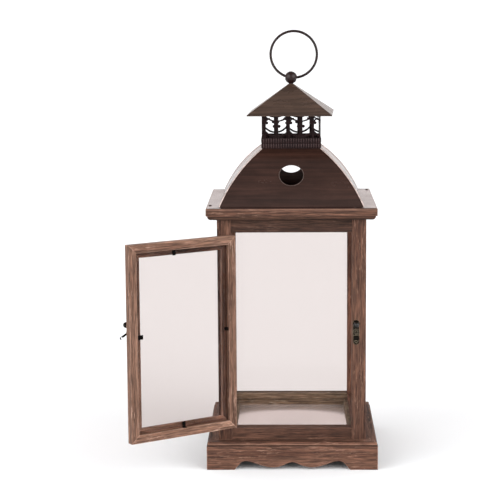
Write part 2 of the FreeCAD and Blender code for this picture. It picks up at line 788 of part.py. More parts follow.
def knob(x, z):
    """Mushroom knob on a thin neck, with a plain shank that goes through the plate into the wood."""
    t = clasp_plate_thickness
    centre = Vector(x, door_face - knob_neck_top, z)
    dome = Part.makeSphere(knob_radius, centre)
    dome = dome.common(disc(x, z, knob_radius + 1, knob_neck_top, knob_neck_top + knob_radius + 1))
    top = Part.makeCone(knob_neck_radius, knob_radius, 1.4, Vector(x, door_face - knob_neck_top + 1.4, z),
                        OUTWARD)
    neck = disc(x, z, knob_neck_radius, t, knob_neck_top)
    shank = disc(x, z, small_shank_radius, -small_screw_length, t)
    return fused([dome, top, neck, shank])


def clasp_screw(x, z, grow=0.0, rise=0.0):
    """Countersunk screw, flush with the plate's face."""
    head = Vector(x, door_face - clasp_plate_thickness - rise, z)
    return screw(head, Vector(0, 1, 0), small_screw_length, small_shank_radius, small_head_radius, True, grow)


def latch_angle():
    """Angle of the arm below the horizontal when its notch is on the keeper's knob."""
    return math.degrees(math.atan2(pivot_height - keeper_knob_height, keeper_x - clasp_x))


def latch_arm():
    """Thin strip hook: an eye round the pivot, and a notch that drops over the keeper's neck."""
    low = clasp_plate_thickness + arm_float
    high = low + arm_thickness
    reach = math.hypot(keeper_x - clasp_x, pivot_height - keeper_knob_height)
    notch = knob_neck_radius + arm_notch_gap
    lower = pivot_height - notch / 2
    upper = lower + arm_width
    strip = box(clasp_x, clasp_x + reach + notch, door_face - high, door_face - low, lower, upper)
    nose_x = clasp_x + reach + notch + arm_nose / 2
    nose = box(nose_x - arm_nose / 2, nose_x + arm_nose / 2, door_face - high, door_face - low,
               pivot_height - notch, upper)
    tip = disc(nose_x, pivot_height - notch, arm_nose / 2, low, high)
    shapes = [disc(clasp_x, pivot_height, arm_eye_radius, low, high), strip, nose, tip]
    slot = box(clasp_x + reach - notch, clasp_x + reach + notch, door_face - high - 1, door_face - low + 1,
               pivot_height - 2 * arm_width, pivot_height)
    cuts = [disc(clasp_x + reach, pivot_height, notch, low - 1, high + 1), slot,
            disc(clasp_x, pivot_height, pivot_radius + pin_gap, low - 1, high + 1)]
    arm = fused(shapes).cut(cuts)
    return turned(arm, latch_angle(), Vector(clasp_x, 0, pivot_height), Vector(0, 1, 0))


def latch_pivot():
    top = clasp_plate_thickness + 2 * arm_float + arm_thickness
    ball = (pivot_head_radius ** 2 + pivot_head_height ** 2) / (2 * pivot_head_height)
    sphere = Part.makeSphere(ball, Vector(clasp_x, door_face - top - pivot_head_height + ball, pivot_height))
    head = sphere.common(disc(clasp_x, pivot_height, pivot_head_radius, top, top + pivot_head_height))
    return fused([head, disc(clasp_x, pivot_height, pivot_radius, 0, top)])


def keeper_plate():
    t = clasp_plate_thickness
    half = clasp_plate_tail_width / 2
    plate = clasp_plate(keeper_x, keeper_knob_height, boss_height, keeper_foot)
    boss = disc(keeper_x, boss_height, boss_radius, t, t + boss_rise)
    boss = boss.cut(disc(keeper_x, boss_height, boss_inner_radius, 0, t + boss_rise + 1))
    block_top = boss_height - boss_radius
    block = box(keeper_x - half, keeper_x + half, door_face - t - block_rise, door_face - t,
                block_top - block_height, block_top)
    hole = disc(keeper_x, keeper_knob_height, small_shank_radius + screw_gap, -1, t + 1)
    screws = [clasp_screw(keeper_x, z, screw_gap) for z in (boss_height, keeper_foot)]
    return fused([plate, boss, block]).cut([hole] + screws)


def latch_plate():
    t = clasp_plate_thickness
    plate = clasp_plate(clasp_x, latch_knob_height, pivot_height, latch_foot)
    holes = [disc(clasp_x, latch_knob_height, small_shank_radius + screw_gap, -1, t + 1),
             disc(clasp_x, pivot_height, pivot_radius + screw_gap, -1, t + 1)]
    return plate.cut(holes + [clasp_screw(clasp_x, latch_foot, screw_gap)])


# ---------------------------------------------------------------- assembly
def build():
    keeper_levels = [boss_height, keeper_foot]
    shank_hole = small_shank_radius + screw_gap

    frame_screws = [one for level in hinge_levels() for one in hinge_screws(level, -1)]
    frame_screws += [clasp_screw(keeper_x, level) for level in keeper_levels]
    frame_cutters = [one for level in hinge_levels() for one in hinge_screws(level, -1, screw_gap)]
    frame_cutters += [leaf_recess(level, -1) for level in hinge_levels()]
    frame_cutters += [clasp_screw(keeper_x, level, screw_gap) for level in keeper_levels]
    frame_cutters.append(disc(keeper_x, keeper_knob_height, shank_hole, -small_screw_length - 0.2, 1))

    door_screws = [one for level in hinge_levels() for one in hinge_screws(level, 1)]
    door_screws.append(clasp_screw(clasp_x, latch_foot))
    hinge_stile_cutters = [one for level in hinge_levels() for one in hinge_screws(level, 1, screw_gap)]
    hinge_stile_cutters += [leaf_recess(level, 1) for level in hinge_levels()]
    free_stile_cutters = [clasp_screw(clasp_x, latch_foot, screw_gap),
                          disc(clasp_x, latch_knob_height, shank_hole, -small_screw_length - 0.2, 1)]

    rails = case_rails()
    nodes = {}
    nodes.update(base_pieces())
    nodes.update(floor_pieces())
    nodes.update(posts(rails, frame_cutters))
    nodes.update(rails)
    nodes.update(panes())
    nodes.update(cornice_pieces(roof_screw_set(screw_gap)))
    nodes.update(roof_pieces())
    nodes["vent_gallery"] = gallery()
    nodes.update(cap_pieces())
    nodes["hinge_leaves_frame"] = Part.makeCompound([hinge_leaf(level, -1) for level in hinge_levels()])
    nodes["hinge_pins"] = Part.makeCompound([hinge_pin(level) for level in hinge_levels()])
    nodes["frame_screws"] = Part.makeCompound(frame_screws)
    nodes["keeper_plate"] = keeper_plate()
    nodes["keeper_knob"] = knob(keeper_x, keeper_knob_height)

    door = {f"door_{side}": door_member_piece(side)
            for side in ("stile_hinge", "stile_free", "rail_top", "rail_bottom")}
    door["door_stile_hinge"] = door["door_stile_hinge"].cut(hinge_stile_cutters)
    door["door_stile_free"] = door["door_stile_free"].cut(free_stile_cutters)
    door["door_glass"] = door_pane()
    door["glass_clips"] = Part.makeCompound(glass_clips())
    door["hinge_leaves_door"] = Part.makeCompound([hinge_leaf(level, 1) for level in hinge_levels()])
    door["door_screws"] = Part.makeCompound(door_screws)
    door["latch_plate"] = latch_plate()
    door["latch_knob"] = knob(clasp_x, latch_knob_height)
    door["latch_pivot"] = latch_pivot()
    door["latch_arm"] = latch_arm()
    nodes.update({name: opened(shape) for name, shape in door.items()})
    return nodes


def report_frame():
    """Print the places that the joints and openings are stated from."""
    pivot = opened(Part.Vertex(Vector(clasp_x, door_face, pivot_height))).Point
    outward = opened(Part.makeLine(CENTRE, OUTWARD))
    print("hinge axis", hinge_x, hinge_y, "door z", door_bottom, door_top)
    print("latch pivot", tuple(round(v, 3) for v in pivot))
    print("latch axis", [round(b - a, 5) for a, b in zip(outward.Vertexes[0].Point, outward.Vertexes[1].Point)])
    print("ball centre", ball_centre, "ring axis", tuple(round(v, 5) for v in ring_axis()))
    print("floor", floor_top, "sill", door_sill, "head", door_head, "cornice", cornice_top,
          "roof", roof_top, "gallery", gallery_top(), "eave", eave, "cap", cap_top)


os.makedirs("parts", exist_ok=True)
for name, shape in build().items():
    shape.exportStep(f"parts/{name}.step")
report_frame()
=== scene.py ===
import bpy
import math
from mathutils import Matrix, Vector


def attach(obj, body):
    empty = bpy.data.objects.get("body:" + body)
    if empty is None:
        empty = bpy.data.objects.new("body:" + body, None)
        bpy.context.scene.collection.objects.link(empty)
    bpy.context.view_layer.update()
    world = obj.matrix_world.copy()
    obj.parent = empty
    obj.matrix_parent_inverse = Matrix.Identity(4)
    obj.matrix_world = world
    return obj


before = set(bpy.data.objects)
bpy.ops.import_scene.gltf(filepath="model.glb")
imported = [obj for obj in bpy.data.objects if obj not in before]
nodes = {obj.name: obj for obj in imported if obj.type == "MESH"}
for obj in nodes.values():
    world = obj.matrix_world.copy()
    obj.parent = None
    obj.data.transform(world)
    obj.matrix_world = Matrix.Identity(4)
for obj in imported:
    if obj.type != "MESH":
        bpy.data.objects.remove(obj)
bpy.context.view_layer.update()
bpy.ops.object.select_all(action="DESELECT")

# ---- Base: four mitred boards with a wavy lower edge, glue blocks in their corners, a board between.
# Weathered hardwood, stained warm brown and rubbed back so that the pores stay dark and the
# corners go pale. The boards are glued at the mitres, and the blocks and board are painted dark as
# painted shade under the base.


def tint(rgb):
    """A linear colour with full alpha."""
    return (rgb[0], rgb[1], rgb[2], 1.0)


def grey(level):
    """A neutral colour of that level."""
    return (level, level, level)


def toned(gain, colour):
    """A colour multiplied by the gain."""
    return [value * gain for value in colour]


def shaded(gain, colours):
    """Several colours, each multiplied by the gain."""
    return [toned(gain, colour) for colour in colours]


def new_material(name):
    """A material, its node tree, and the one shader in it."""
    material = bpy.data.materials.new(name)
    material.use_nodes = True
    tree = material.node_tree
    return material, tree, tree.nodes["Principled BSDF"]


def add(tree, kind, **settings):
    """A node of that kind with its properties set."""
    node = tree.nodes.new(kind)
    for key, value in settings.items():
        setattr(node, key, value)
    return node


def feed(tree, value, entry):
    """Puts a socket or a plain value into a node's input."""
    if isinstance(value, bpy.types.NodeSocket):
        tree.links.new(value, entry)
    else:
        entry.default_value = value


def ramp(tree, source, stops):
    """A colour ramp fed by source, with (place, colour) stops."""
    node = add(tree, "ShaderNodeValToRGB")
    elements = node.color_ramp.elements
    while len(elements) < len(stops):
        elements.new(0.5)
    for element, (place, colour) in zip(elements, stops):
        element.position = place
        element.color = tint(colour)
    tree.links.new(source, node.inputs["Fac"])
    return node.outputs["Color"]


def blend_colours(tree, mode, factor, first, second):
    """Two colours laid over each other in that mode."""
    node = add(tree, "ShaderNodeMix", data_type="RGBA", blend_type=mode)
    for place, value in ((0, factor), (6, first), (7, second)):
        feed(tree, value, node.inputs[place])
    return node.outputs[2]


def sums(tree, operation, first, second):
    """The sum, product or such of two values."""
    node = add(tree, "ShaderNodeMath", operation=operation)
    feed(tree, first, node.inputs[0])
    feed(tree, second, node.inputs[1])
    return node.outputs[0]


def spread(tree, source, start=0.0, end=1.0, low=0.0, high=1.0, curve="LINEAR"):
    """A value that goes from low to high as source goes from start to end, and no further."""
    node = add(tree, "ShaderNodeMapRange", interpolation_type=curve)
    for place, value in (("From Min", start), ("From Max", end), ("To Min", low), ("To Max", high)):
        node.inputs[place].default_value = value
    tree.links.new(source, node.inputs["Value"])
    return node.outputs["Result"]


def chance(tree):
    """A number from 0 to 1 that differs from piece to piece."""
    return add(tree, "ShaderNodeObjectInfo").outputs["Random"]


def along_grain(tree, turn, shift):
    """Object coordinates turned so that X runs along the grain, and shifted by chance on each piece."""
    place = add(tree, "ShaderNodeTexCoord")
    mapping = add(tree, "ShaderNodeMapping", vector_type="TEXTURE")
    mapping.inputs["Rotation"].default_value = turn
    tree.links.new(place.outputs["Object"], mapping.inputs["Vector"])
    moved = add(tree, "ShaderNodeVectorMath", operation="ADD")
    tree.links.new(mapping.outputs["Vector"], moved.inputs[0])
    tree.links.new(sums(tree, "MULTIPLY", chance(tree), shift), moved.inputs[1])
    return moved.outputs[0]


def streaks(tree, vector, along, across, detail, rough, warp=0.0):
    """Noise stretched along the grain; along and across are counts in a metre."""
    scale = add(tree, "ShaderNodeVectorMath", operation="MULTIPLY")
    scale.inputs[1].default_value = (along, across, across)
    tree.links.new(vector, scale.inputs[0])
    noise = add(tree, "ShaderNodeTexNoise")
    noise.inputs["Scale"].default_value = 1.0
    noise.inputs["Detail"].default_value = detail
    noise.inputs["Roughness"].default_value = rough
    noise.inputs["Distortion"].default_value = warp
    tree.links.new(scale.outputs[0], noise.inputs["Vector"])
    return noise.outputs["Fac"]


def worn_edge(tree, radius, worn, whole):
    """1 on corners and edges and 0 on flats, by how far a rounded normal leans off the face's own."""
    rounded = add(tree, "ShaderNodeBevel", samples=6)
    rounded.inputs["Radius"].default_value = radius
    face = add(tree, "ShaderNodeNewGeometry")
    lean = add(tree, "ShaderNodeVectorMath", operation="DOT_PRODUCT")
    tree.links.new(rounded.outputs["Normal"], lean.inputs[0])
    tree.links.new(face.outputs["Normal"], lean.inputs[1])
    return spread(tree, lean.outputs["Value"], whole, worn)


def height_band(tree, start, end):
    """0 at the start height and 1 at the end height, and even beyond both."""
    place = add(tree, "ShaderNodeTexCoord")
    split = add(tree, "ShaderNodeSeparateXYZ")
    tree.links.new(place.outputs["Object"], split.inputs[0])
    return spread(tree, split.outputs["Z"], start, end)


def roughen(tree, shader, height, strength, distance):
    """Gives the shader a bump of that height pattern."""
    bump = add(tree, "ShaderNodeBump")
    bump.inputs["Strength"].default_value = strength
    bump.inputs["Distance"].default_value = distance
    tree.links.new(height, bump.inputs["Height"])
    tree.links.new(bump.outputs["Normal"], shader.inputs["Normal"])


WOOD_SHIFT = 7.3
WOOD_RUBBED = (2.1, 2.45, 2.7)


def wood(name, turn, colours, wear, wear_and_highlight_band=None, joints=()):
    """Open-grained stained wood with its grain along local X after the turn.

    colours are its pale, middle and dark stain, and wear is how far its edges are rubbed pale.
    wear_and_highlight_band is a (start, end) of height towards which it goes pale, as wear and, on the
    planks, as a painted highlight. joints lists (start, end, level) of painted shade: at the start height
    the stain is as dark as level, at the end it is untouched.
    """
    pale, middle, dark = colours
    material, tree, shader = new_material(name)
    vector = along_grain(tree, turn, WOOD_SHIFT)
    broad = streaks(tree, vector, along=5.0, across=70.0, detail=2.0, rough=0.5, warp=0.2)
    fibre = streaks(tree, vector, along=13.0, across=340.0, detail=4.0, rough=0.65, warp=0.15)
    fine = streaks(tree, vector, along=34.0, across=720.0, detail=3.0, rough=0.65)
    pores = streaks(tree, vector, along=60.0, across=1300.0, detail=2.0, rough=0.5)
    dashes = streaks(tree, vector, along=60.0, across=480.0, detail=3.0, rough=0.7)
    patch = streaks(tree, vector, along=14.0, across=30.0, detail=3.0, rough=0.6)

    # The stain: broad bands, then fibres, threads and pores over them, and each board a little different.
    tone = ramp(tree, broad, [(0.36, dark), (0.5, middle), (0.64, pale)])
    lines = ramp(tree, fibre, [(0.34, grey(0.60)), (0.46, grey(0.90)),
                               (0.56, grey(1.08)), (0.68, grey(1.44))])
    tone = blend_colours(tree, "MULTIPLY", 1.0, tone, lines)
    threads = ramp(tree, fine, [(0.36, grey(0.52)), (0.5, grey(1.0)), (0.64, grey(1.55))])
    tone = blend_colours(tree, "MULTIPLY", 1.0, tone, threads)
    pits = ramp(tree, pores, [(0.37, grey(0.35)), (0.44, grey(1.0))])
    tone = blend_colours(tree, "MULTIPLY", 0.8, tone, pits)
    tone = blend_colours(tree, "MULTIPLY", 1.0, tone, spread(tree, chance(tree), low=0.88, high=1.13))

    # The wear: pale flecks in patches and broken pale edges. Then a pale height band, which is wear and on
    # the planks a painted highlight too, and painted shade in bands under overhangs and along gaps.
    rubbed = tint([value * gain for value, gain in zip(pale, WOOD_RUBBED)])
    flecks = ramp(tree, dashes, [(0.565, grey(0.0)), (0.65, grey(0.85))])
    flecks = sums(tree, "MULTIPLY", flecks, ramp(tree, patch, [(0.44, grey(0.14)), (0.60, grey(0.95))]))
    tone = blend_colours(tree, "MIX", flecks, tone, rubbed)
    edge = worn_edge(tree, radius=0.0016, worn=0.84, whole=0.985)
    edge = sums(tree, "MULTIPLY", edge, ramp(tree, dashes, [(0.38, grey(0.1)), (0.6, grey(1.0))]))
    edge = sums(tree, "MULTIPLY", edge, wear)
    tone = blend_colours(tree, "MIX", edge, tone, rubbed)
    if wear_and_highlight_band:
        broken = ramp(tree, dashes, [(0.3, grey(0.2)), (0.6, grey(0.8))])
        rim = sums(tree, "MULTIPLY", height_band(tree, *wear_and_highlight_band), broken)
        tone = blend_colours(tree, "MIX", rim, tone, rubbed)
    # Painted shade: bands of height darkened where shadow falls.
    for start, end, level in joints:
        painted_shade = ramp(tree, height_band(tree, start, end), [(0.0, grey(level)), (1.0, grey(1.0))])
        tone = blend_colours(tree, "MULTIPLY", 1.0, tone, painted_shade)
    tree.links.new(tone, shader.inputs["Base Color"])

    tree.links.new(spread(tree, fibre, low=0.80, high=0.55), shader.inputs["Roughness"])
    shader.inputs["Specular IOR Level"].default_value = 0.22
    height = sums(tree, "ADD", sums(tree, "MULTIPLY", fibre, 0.7), sums(tree, "MULTIPLY", pits, 0.5))
    roughen(tree, shader, height, strength=0.7, distance=0.0006)
    return material


def finish_node(name, material):
    """Gives a CAD node that material in every slot."""
    node = nodes[name]
    if not node.material_slots:
        node.data.materials.append(material)
    for place in node.material_slots:
        place.material = material


def finish_four(piece, across, deep):
    """Finishes a square of four pieces: the front and back ones, and the left and right ones."""
    for side in ("front", "back"):
        finish_node(f"{piece}_{side}", across)
    for side in ("left", "right"):
        finish_node(f"{piece}_{side}", deep)


BODY_PALE = (0.107, 0.0505, 0.0320)
BODY_MIDDLE = (0.0865, 0.0388, 0.0242)
BODY_DARK = (0.063, 0.0267, 0.0162)
BODY = (BODY_PALE, BODY_MIDDLE, BODY_DARK)
ACROSS_GAIN = 1.16
ALONG_X = (0.0, 0.0, 0.0)
ALONG_Y = (0.0, 0.0, math.pi / 2)
ALONG_Z = (0.0, -math.pi / 2, 0.0)

# Painted shadow: the aprons are darkened along the gap under the planks above them.
APRON_SHADOW_LINE = ((0.0343, 0.0330, 0.38),)
apron_across = wood("apron_wood_across", ALONG_X, shaded(ACROSS_GAIN, BODY), wear=1.0, joints=APRON_SHADOW_LINE)
apron_deep = wood("apron_wood_front_to_back", ALONG_Y, BODY, wear=1.0, joints=APRON_SHADOW_LINE)
finish_four("apron", apron_across, apron_deep)
# The blocks and board underneath are painted near black: painted shade under the base.
UNDER_SHADE_TONES = ((0.026, 0.029, 0.029), (0.020, 0.023, 0.023), (0.015, 0.017, 0.017))
shaded_under_wood = wood("painted_shade_wood_under", ALONG_X, UNDER_SHADE_TONES, wear=0.2)
finish_node("corner_blocks", shaded_under_wood)
finish_node("base_board", shaded_under_wood)

# ---- Planks on the base: four mitred boards with a soft rounded edge, which carry the case.
# The same wood, painted paler as painted light on its top, and pale along the lower half of its outer
# edge from wear and a painted highlight. Glued down on the aprons.
PLANK_LIT_TONES = (toned(1.45, BODY_PALE), toned(1.4, BODY_MIDDLE), BODY_DARK)
PLANK_WEAR_AND_HIGHLIGHT = (0.0372, 0.0360)
lit_plank_across = wood("plank_lit_wood_across", ALONG_X, PLANK_LIT_TONES, wear=1.0, wear_and_highlight_band=PLANK_WEAR_AND_HIGHLIGHT)
lit_plank_deep = wood("plank_lit_wood_front_to_back", ALONG_Y, PLANK_LIT_TONES, wear=1.0, wear_and_highlight_band=PLANK_WEAR_AND_HIGHLIGHT)
finish_four("base_plank", lit_plank_across, lit_plank_deep)

# ---- Case: four posts with rails tenoned between them, all from the same stained wood.
# The top rails are painted darker as painted shade under the cornice, with a painted shadow line at
# their top, and the back rail at the foot has faded to olive. The three glazed openings are grooved for
# panes.
TOP_SHADOW_LINE = ((0.3524, 0.3512, 0.16),)
FADED = ((0.168, 0.117, 0.079), (0.142, 0.096, 0.064), (0.108, 0.072, 0.046))
wood_upright = wood("stained_wood_upright", ALONG_Z, BODY, wear=1.0)
low_rail_across = wood("low_rail_wood_across", ALONG_X, shaded(0.98, BODY), wear=0.9)
low_rail_deep = wood("low_rail_wood_front_to_back", ALONG_Y, shaded(0.9, BODY), wear=0.9)
faded_across = wood("faded_wood_across", ALONG_X, FADED, wear=0.6)
# The top rails' darker stain and the dark line at their top are painted shade from the cornice.
shaded_top_rail_across = wood("top_rail_shaded_wood_across", ALONG_X, shaded(0.51, BODY), wear=0.6, joints=TOP_SHADOW_LINE)
shaded_top_rail_deep = wood("top_rail_shaded_wood_front_to_back", ALONG_Y, shaded(0.62, BODY), wear=0.7, joints=TOP_SHADOW_LINE)
for row in ("front", "back"):
    for column in ("left", "right"):
        finish_node(f"post_{row}_{column}", wood_upright)
finish_four("top_rail", shaded_top_rail_across, shaded_top_rail_deep)
finish_node("bottom_rail_front", low_rail_across)
finish_node("bottom_rail_back", faded_across)
for side in ("left", "right"):
    finish_node(f"bottom_rail_{side}", low_rail_deep)

# ---- Cornice: four mitred mouldings on top of the case, with a flat face over a quarter round.
# The same stained wood, rubbed pale along its upper edge, with painted shade on the round and a
# painted shadow line where it meets the case. The mouldings are nailed down before the roof goes on.
CORNICE_RUBBED = (0.3655, 0.3695)
# Painted shade on the quarter round, and a painted shadow line at the cornice's foot.
CORNICE_SHADE_BANDS = ((0.3583, 0.3590, 0.66), (0.3532, 0.3543, 0.25))
cornice_across = wood("cornice_wood_across", ALONG_X, shaded(1.02, BODY), wear=1.0,
                      wear_and_highlight_band=CORNICE_RUBBED, joints=CORNICE_SHADE_BANDS)
cornice_deep = wood("cornice_wood_front_to_back", ALONG_Y, BODY, wear=1.0,
                    wear_and_highlight_band=CORNICE_RUBBED, joints=CORNICE_SHADE_BANDS)
finish_four("cornice", cornice_across, cornice_deep)

# ---- Floor of the case: a board, a bright metal plate that catches wax, and quarter-round beads.
# The plate is thin polished steel, faintly scratched and slightly uneven. The beads, faded like the
# back rail, hold it down.
panel_wood = wood("stained_wood_across", ALONG_X, shaded(ACROSS_GAIN, BODY), wear=1.0)
finish_node("floor_panel", panel_wood)
finish_node("floor_beads", faded_across)

PLATE_SHIFT = 3.1
DISH_LEAN, DISH_BOW, DISH_RIPPLE = 0.064, 11.4, 0.0004


def bright_plate(name, colour):
    """Thin bright sheet, brushed fine along X and a little dished, so that what it mirrors is bowed."""
    material, tree, shader = new_material(name)
    vector = along_grain(tree, ALONG_X, PLATE_SHIFT)
    scratch = streaks(tree, vector, along=30.0, across=300.0, detail=3.0, rough=0.6)
    cloud = streaks(tree, vector, along=9.0, across=9.0, detail=3.0, rough=0.5)
    base = ramp(tree, cloud, [(0.3, toned(0.94, colour)), (0.7, toned(1.05, colour))])
    tree.links.new(base, shader.inputs["Base Color"])
    shader.inputs["Metallic"].default_value = 0.7
    tree.links.new(spread(tree, scratch, low=0.12, high=0.20), shader.inputs["Roughness"])
    place = add(tree, "ShaderNodeTexCoord")
    split = add(tree, "ShaderNodeSeparateXYZ")
    tree.links.new(place.outputs["Object"], split.inputs[0])
    across = sums(tree, "MULTIPLY", split.outputs["X"], split.outputs["X"])
    slope = sums(tree, "SUBTRACT", DISH_LEAN, sums(tree, "MULTIPLY", across, DISH_BOW))
    dish = sums(tree, "MULTIPLY", split.outputs["Y"], slope)
    height = sums(tree, "ADD", dish, sums(tree, "MULTIPLY", cloud, DISH_RIPPLE))
    roughen(tree, shader, height, strength=1.0, distance=1.0)
    return material


finish_node("floor_plate", bright_plate("floor_plate_metal", (0.74, 0.69, 0.68)))

# ---- Fixed panes: three sheets of clear glass, at the back and on both sides.
# Faintly warm in colour. Each stands in the grooves of its posts and rails, with no putty or bead.
SHADOW_PASS = 0.97


def clear_glass(name, colour):
    """Clear glass that lets light through to what it shuts in, so that this stays lit."""
    material, tree, shader = new_material(name)
    shader.inputs["Base Color"].default_value = tint(colour)
    shader.inputs["Transmission Weight"].default_value = 1.0
    shader.inputs["Roughness"].default_value = 0.0
    shader.inputs["IOR"].default_value = 1.2
    open_way = add(tree, "ShaderNodeBsdfTransparent")
    open_way.inputs["Color"].default_value = tint(toned(SHADOW_PASS, colour))
    path = add(tree, "ShaderNodeLightPath")
    mix = add(tree, "ShaderNodeMixShader")
    tree.links.new(path.outputs["Is Shadow Ray"], mix.inputs[0])
    tree.links.new(shader.outputs[0], mix.inputs[1])
    tree.links.new(open_way.outputs[0], mix.inputs[2])
    tree.links.new(mix.outputs[0], tree.nodes["Material Output"].inputs["Surface"])
    return material


glass = clear_glass("warm_clear_glass", (0.71, 0.645, 0.625))
for side in ("back", "left", "right"):
    finish_node(f"glass_{side}", glass)

# ---- Roof: four curved panels of thin sheet with flanges, soldered at the corners.
# Painted dark bronze brown, satin, with faint brushed streaks and rubbed edges; the side panels have a
# dusty sheen. One dome-headed screw holds each flange down on the cornice.
PAINT_SHIFT = 5.7
PAINT_RUBBED = 3.4
GLOSS_VARIES = 0.1


def dark_paint(name, colour, rough, edge_gain, rubbed=None, edge_radius=0.0008, ior=1.33, turn=ALONG_X):
    """Satin metal paint with faint streaks, small specks and rubbed edges."""
    material, tree, shader = new_material(name)
    vector = along_grain(tree, turn, PAINT_SHIFT)
    brush = streaks(tree, vector, along=7.0, across=190.0, detail=4.0, rough=0.6, warp=0.4)
    cloud = streaks(tree, vector, along=16.0, across=26.0, detail=5.0, rough=0.65)
    speck = streaks(tree, vector, along=650.0, across=650.0, detail=2.0, rough=0.6)
    tone = ramp(tree, cloud, [(0.3, toned(0.72, colour)), (0.55, colour), (0.75, toned(1.3, colour))])
    lines = ramp(tree, brush, [(0.32, grey(0.72)), (0.5, grey(0.98)), (0.66, grey(1.42))])
    tone = blend_colours(tree, "MULTIPLY", 1.0, tone, lines)
    edge = worn_edge(tree, edge_radius, worn=0.85, whole=0.955)
    edge = sums(tree, "MULTIPLY", edge, sums(tree, "MULTIPLY", cloud, edge_gain))
    # The edge colour is worn paint, and on the hardware partly a painted highlight.
    bare = rubbed or [min(1.0, value) for value in toned(PAINT_RUBBED, colour)]
    tone = blend_colours(tree, "MIX", edge, tone, tint(bare))
    tree.links.new(tone, shader.inputs["Base Color"])
    gloss = spread(tree, cloud, low=rough - GLOSS_VARIES, high=rough + GLOSS_VARIES)
    tree.links.new(gloss, shader.inputs["Roughness"])
    shader.inputs["IOR"].default_value = ior
    height = sums(tree, "ADD", sums(tree, "MULTIPLY", speck, 0.35), sums(tree, "MULTIPLY", brush, 0.4))
    roughen(tree, shader, height, strength=0.25, distance=0.0003)
    return material


ROOF_BROWN = (0.0245, 0.0110, 0.0079)
roof_paint = dark_paint("roof_bronze_paint", ROOF_BROWN, rough=0.24, edge_gain=1.1)
side_paint = dark_paint("roof_side_bronze_paint", ROOF_BROWN, rough=0.2, edge_gain=1.1,
                        ior=1.35, turn=ALONG_Y)
side_shader = side_paint.node_tree.nodes["Principled BSDF"]
side_shader.inputs["Sheen Weight"].default_value = 0.17
side_shader.inputs["Sheen Roughness"].default_value = 0.3
side_shader.inputs["Sheen Tint"].default_value = tint((1.0, 0.70, 0.64))
finish_four("roof", roof_paint, side_paint)
finish_node("roof_screws", roof_paint)

# ---- Vent lips: the round holes in the front and back panels each have a thin rolled lip.
# The sheet is turned over on itself round the hole and lies against the curve of the panel.
# The same paint, paler on the lip from rubbing and as a painted glint.

# The curved profile of each panel, as (distance out from the middle, height), which is one arc.
ROOF_FOOT = Vector((0.1, 0.3697))
ROOF_HEAD = Vector((0.0415, 0.4450))
ROOF_BULGE = 0.0063
chord = ROOF_HEAD - ROOF_FOOT
outward = Vector((chord.y, -chord.x)).normalized()
roof_radius = (chord.length ** 2 / 4 + ROOF_BULGE ** 2) / (2 * ROOF_BULGE)
roof_centre = (ROOF_FOOT + ROOF_HEAD) / 2 + outward * (ROOF_BULGE - roof_radius)

VENT_LEVEL = 0.4113
LIP_RADIUS = 0.0170
LIP_THICKNESS = 0.00042
vent_rise = VENT_LEVEL - roof_centre.y
vent_out = math.sqrt(roof_radius ** 2 - vent_rise ** 2)
vent_place = (0.0, -roof_centre.x - vent_out, VENT_LEVEL)
vent_lean = (math.atan2(vent_out, vent_rise), 0.0, 0.0)


def apply_all(obj):
    """Applies an object's modifiers and its transform, with only that object selected."""
    bpy.ops.object.select_all(action="DESELECT")
    obj.select_set(True)
    bpy.context.view_layer.objects.active = obj
    for modifier in list(obj.modifiers):
        bpy.ops.object.modifier_apply(modifier=modifier.name)
    bpy.ops.object.transform_apply(location=True, rotation=True, scale=True)


def turned_copy(obj, name, quarters):
    """A copy with a mesh of its own, turned about the lantern's middle by so many quarter turns."""
    copy = obj.copy()
    copy.data = obj.data.copy()
    copy.name = name
    bpy.context.collection.objects.link(copy)
    copy.rotation_euler = (0.0, 0.0, quarters * math.pi / 2)
    apply_all(copy)
    return copy


bpy.ops.mesh.primitive_torus_add(major_radius=LIP_RADIUS, minor_radius=LIP_THICKNESS, major_segments=72,
                                 minor_segments=10, location=vent_place, rotation=vent_lean)
lip = bpy.context.object
lip.name = "vent_lip_front"
# Above and below the hole's middle the lip falls back with the panel's curve.
for vertex in lip.data.vertices:
    vertex.co.z -= vertex.co.y ** 2 / (2 * roof_radius)
apply_all(lip)
bpy.ops.object.shade_smooth_by_angle(angle=math.radians(60))
# The lip's paler colour is rubbed paint and partly a painted glint.
lip.data.materials.append(dark_paint("rubbed_lip_glint_paint", (0.070, 0.048, 0.041), rough=0.3, edge_gain=1.0))
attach(lip, "lantern")
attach(turned_copy(lip, "vent_lip_back", 2), "lantern")

# ---- Roof seams: a raised line of solder up each of the four corners where the panels meet.
# It follows the panels' own curve from the flanges to the gallery, and is rubbed bare and bright.
SEAM_RADIUS = 0.0008
SOLDER = (0.46, 0.37, 0.34)
foot_angle = math.atan2(ROOF_FOOT.y - roof_centre.y, ROOF_FOOT.x - roof_centre.x)
head_angle = math.atan2(ROOF_HEAD.y - roof_centre.y, ROOF_HEAD.x - roof_centre.x)
# Handles of this length make a single span follow the panels' arc.
handle = roof_radius * math.tan((head_angle - foot_angle) / 4) * 4 / 3


def corner(out_and_up):
    """A point of the panels' profile, set on the corner between the front and left panels."""
    return Vector((-out_and_up.x, -out_and_up.x, out_and_up.y))


